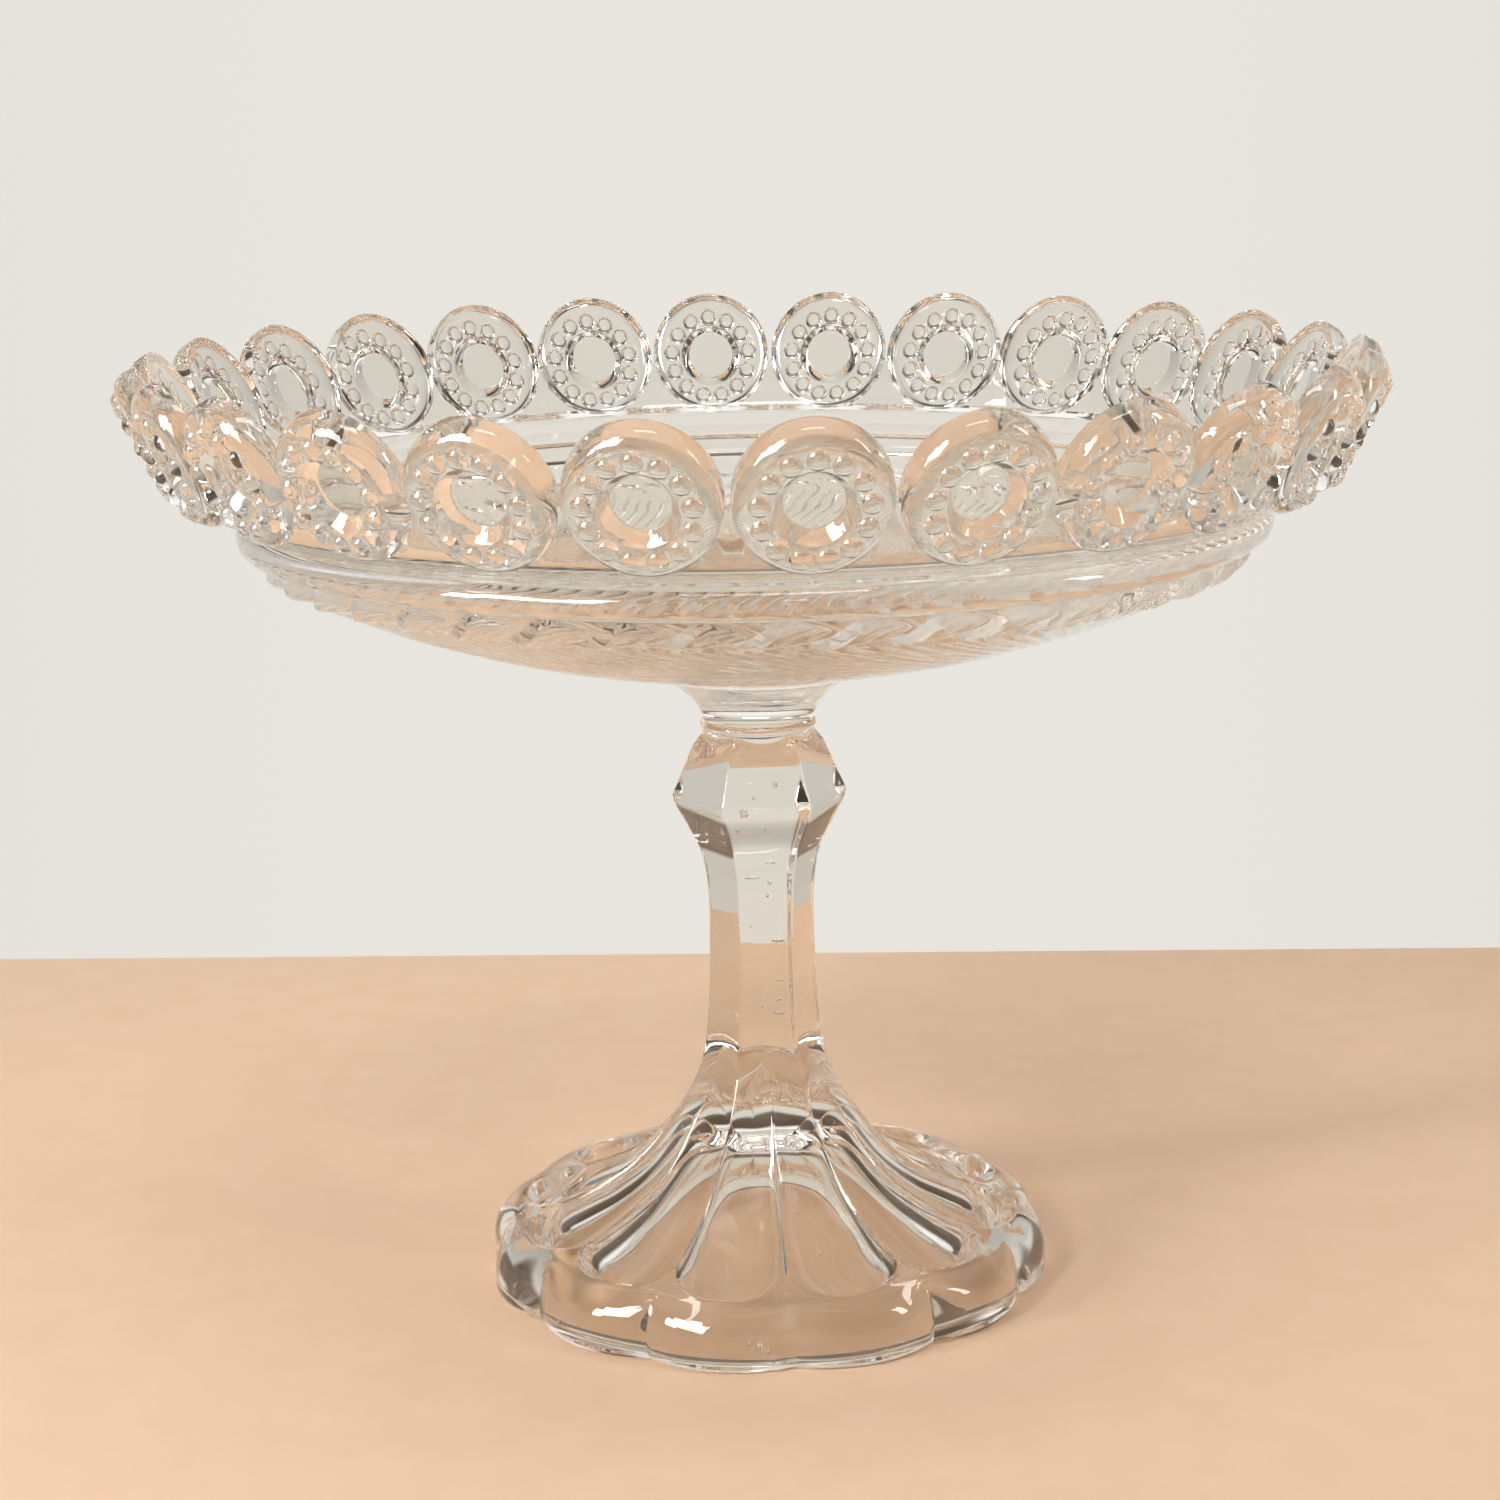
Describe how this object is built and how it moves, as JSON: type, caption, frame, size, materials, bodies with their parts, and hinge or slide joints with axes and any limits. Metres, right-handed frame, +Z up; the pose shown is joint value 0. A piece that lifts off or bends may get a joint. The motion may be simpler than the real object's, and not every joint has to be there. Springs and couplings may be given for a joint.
{
  "type": "footed glass dish",
  "caption": "Open footed dish of clear pressed glass: a shallow bowl with a rim of beaded round medallions, on a faceted stem with a petal foot.",
  "frame": {"origin": "centre of the foot's resting plane, on the stem's axis", "axes": "+Z up along the stem's axis; the mould's seam lies near -Y"},
  "size_m": [0.2162, 0.2156, 0.1667],
  "materials": {
    "pressed_glass": "clear pressed soda-lime glass, fire polished",
    "joint_glass": "clear soda-lime glass, tooled hot and left with a soft skin"
  },
  "bodies": {
    "root": {"bowl": "pressed_glass", "joining_wafer": "joint_glass", "pedestal": "pressed_glass"}
  },
  "joints": []
}
